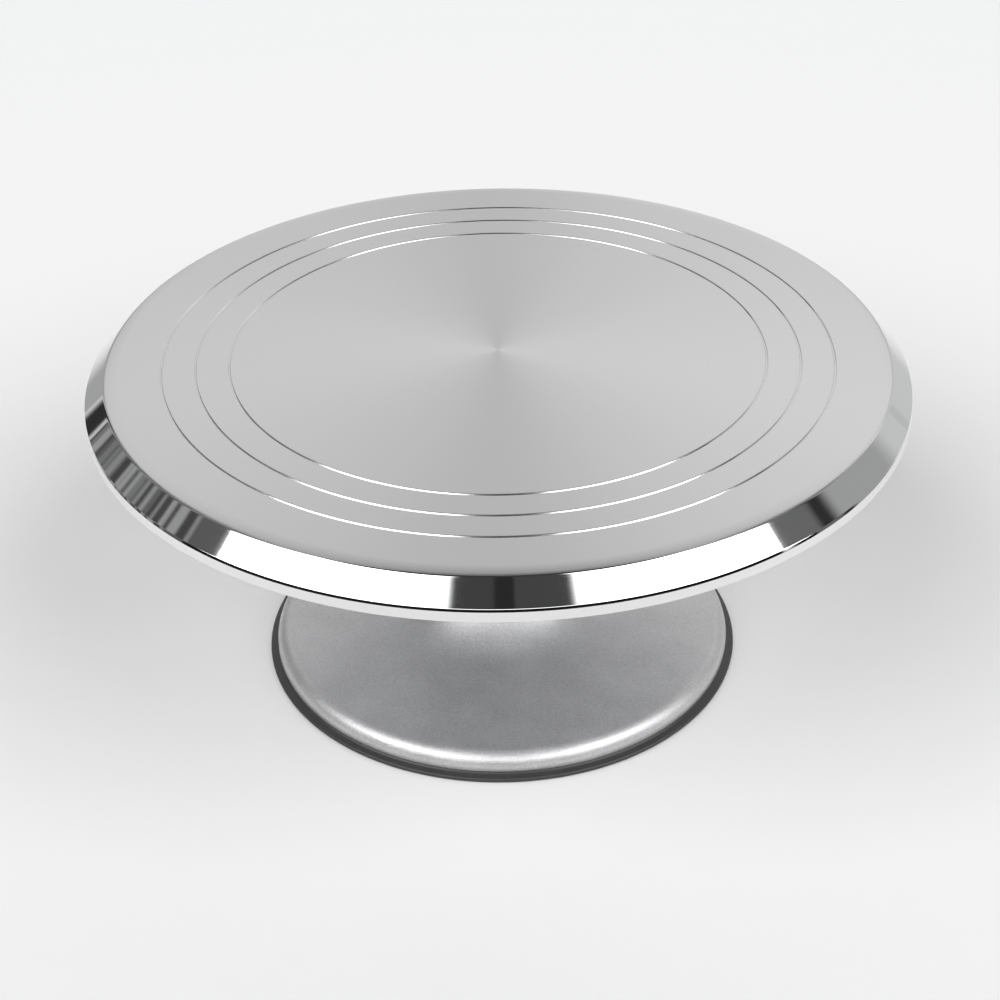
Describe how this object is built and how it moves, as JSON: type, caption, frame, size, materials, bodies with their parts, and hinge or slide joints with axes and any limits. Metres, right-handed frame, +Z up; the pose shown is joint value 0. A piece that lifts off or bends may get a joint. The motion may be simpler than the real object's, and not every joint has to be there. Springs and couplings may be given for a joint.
{
  "type": "cake turntable",
  "caption": "Footed cake turntable: a bevel-edged turned metal plate with centring rings, which spins on ball bearings in a trumpet-shaped pedestal with a rubber foot ring.",
  "frame": {"origin": "on the table, on the plate's axis, at the bottom of the rubber foot ring", "axes": "+Z up along the plate's axis of rotation; X and Y lie in the table's plane"},
  "size_m": [0.305, 0.305, 0.13],
  "materials": {
    "turned_aluminium": "turned satin face, polished bevel",
    "cast_silver": "die-cast, fine silver sand coat",
    "black_rubber": "matte moulded",
    "zinc_plated_steel": "zinc plated, turned",
    "ground_steel": "ground",
    "bearing_steel": "polished",
    "pressed_steel": "pressed, bright",
    "spring_steel": "phosphated",
    "black_screw_steel": "black oxide",
    "black_plastic": "moulded"
  },
  "bodies": {
    "pedestal_base": {"pedestal": "cast_silver", "foot_ring": "black_rubber", "bore_plug": "black_plastic", "upper_bearing_outer_race": "bearing_steel", "upper_bearing_top_shield": "pressed_steel", "upper_bearing_bottom_shield": "pressed_steel", "lower_bearing_outer_race": "bearing_steel", "lower_bearing_top_shield": "pressed_steel", "lower_bearing_bottom_shield": "pressed_steel"},
    "rotor": {"turntable_plate": "turned_aluminium", "spindle_flange": "zinc_plated_steel", "flange_screws": "black_screw_steel", "screw_lock_washers": "zinc_plated_steel", "spindle": "ground_steel", "upper_bearing_inner_race": "bearing_steel", "bearing_spacer": "zinc_plated_steel", "lower_bearing_inner_race": "bearing_steel", "shim_washer": "spring_steel", "spindle_circlip": "spring_steel"},
    "upper_ball_cage": {"upper_bearing_balls": "bearing_steel", "upper_bearing_cage_top": "pressed_steel", "upper_bearing_cage_bottom": "pressed_steel", "upper_bearing_cage_rivets": "pressed_steel"},
    "lower_ball_cage": {"lower_bearing_balls": "bearing_steel", "lower_bearing_cage_top": "pressed_steel", "lower_bearing_cage_bottom": "pressed_steel", "lower_bearing_cage_rivets": "pressed_steel"}
  },
  "joints": [
    {"name": "plate_spin", "type": "hinge", "parent": "pedestal_base", "child": "rotor", "pos_m": [0, 0, 0], "axis": [0, 0, 1], "continuous": true},
    {"name": "upper_cage_spin", "type": "hinge", "parent": "pedestal_base", "child": "upper_ball_cage", "pos_m": [0, 0, 0.103], "axis": [0, 0, 1], "continuous": true},
    {"name": "lower_cage_spin", "type": "hinge", "parent": "pedestal_base", "child": "lower_ball_cage", "pos_m": [0, 0, 0.067], "axis": [0, 0, 1], "continuous": true}
  ],
  "couplings": [
    {"joint": "upper_cage_spin", "follows": "plate_spin", "ratio": 0.3647},
    {"joint": "lower_cage_spin", "follows": "plate_spin", "ratio": 0.3647}
  ]
}
